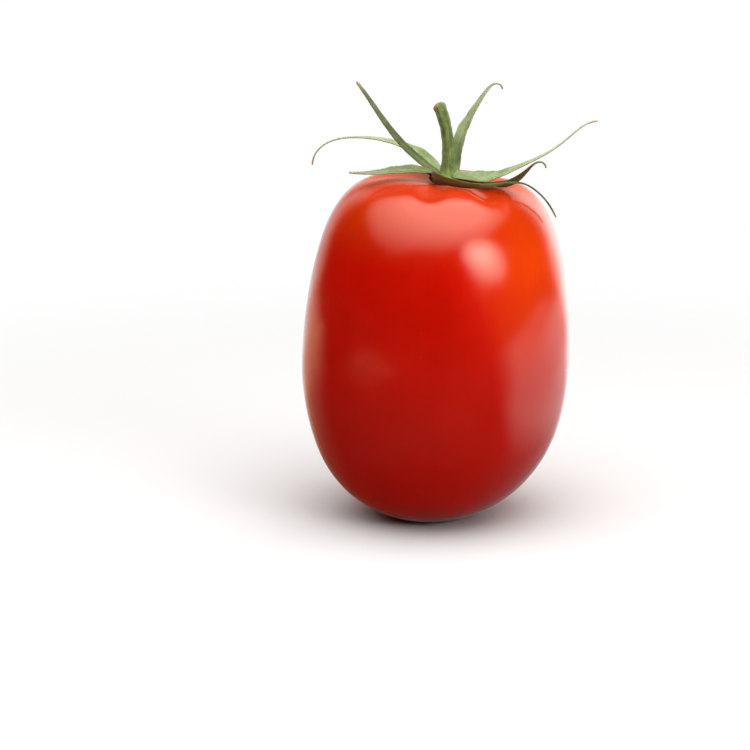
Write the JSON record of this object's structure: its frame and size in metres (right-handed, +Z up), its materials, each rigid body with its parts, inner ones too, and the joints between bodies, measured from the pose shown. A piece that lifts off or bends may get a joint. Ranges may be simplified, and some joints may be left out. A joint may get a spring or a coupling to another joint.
{
  "type": "tomato",
  "caption": "Whole ripe plum tomato standing upright: a tall rounded barrel with a shallow dimple on top, a green calyx of thin curling sepals and a short bent stem.",
  "frame": {"origin": "centre of the small flat spot at the blossom end, which the fruit stands on", "axes": "+Z up from the flat spot towards the stem, -Y towards the side from which the calyx shows best, with the curled sepals to +X"},
  "size_m": [0.0584, 0.0535, 0.0884],
  "materials": {
    "fruit_skin": "glossy waxy skin",
    "calyx_green": "matte, finely hairy leaf"
  },
  "bodies": {
    "root": {"fruit": "fruit_skin", "calyx": "calyx_green"}
  },
  "joints": []
}
